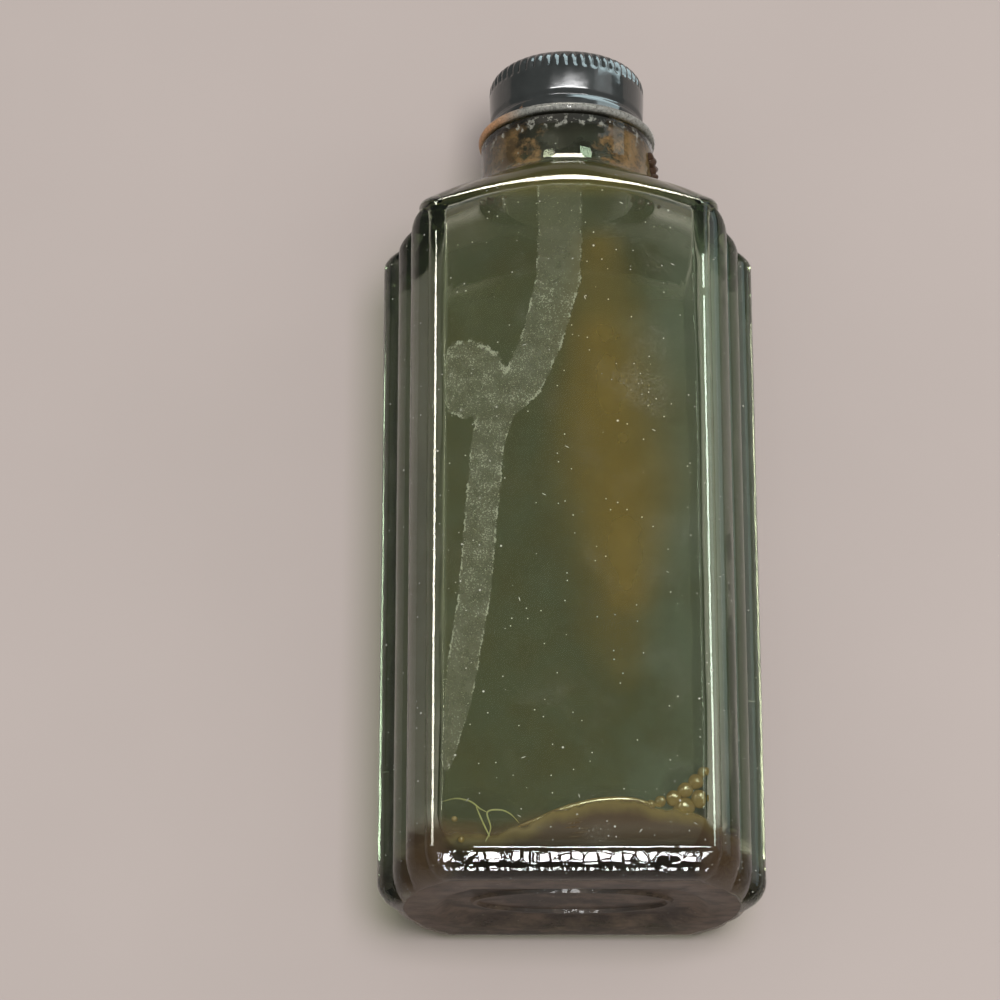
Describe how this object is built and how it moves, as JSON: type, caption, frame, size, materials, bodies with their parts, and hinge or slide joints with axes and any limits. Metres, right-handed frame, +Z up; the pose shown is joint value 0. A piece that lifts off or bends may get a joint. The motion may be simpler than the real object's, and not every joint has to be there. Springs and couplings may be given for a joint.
{
  "type": "glass paint bottle",
  "caption": "Flat glass paint bottle with fluted sides and a sloping shoulder, closed by a lined metal screw cap, with dried paint left in its heel.",
  "frame": {"origin": "centre of the base, on the plane that the bottle stands on", "axes": "+Z up along the axis of the neck and cap; the front panel faces -Y; +X to the right seen from the front"},
  "size_m": [0.06, 0.038, 0.1427],
  "materials": {
    "bottle_glass": "clear moulded glass with an olive tint, dusty",
    "dried_paint": "thick brown dried paint, slightly glossy",
    "cap_enamel": "glossy black enamel on tinplate, worn at the edge",
    "liner_board": "pressed pulpboard",
    "liner_foil": "dull foil with brown paint stains"
  },
  "bodies": {
    "bottle": {"glass_bottle": "bottle_glass", "paint_residue": "dried_paint"},
    "liner": {"cap_liner": "liner_board", "liner_facing": "liner_foil"},
    "cap": {"cap_shell": "cap_enamel"}
  },
  "joints": [
    {"name": "cap_lift", "type": "slide", "parent": "bottle", "child": "liner", "axis": [0, 0, 1], "range_m": [0, 0.0127]},
    {"name": "cap_turn", "type": "hinge", "parent": "liner", "child": "cap", "pos_m": [0, 0, 0.14], "axis": [0, 0, 1], "range_deg": [0, 1440]}
  ],
  "couplings": [
    {"joint": "cap_lift", "follows": "cap_turn", "m_per_rad": 0.0005053}
  ]
}
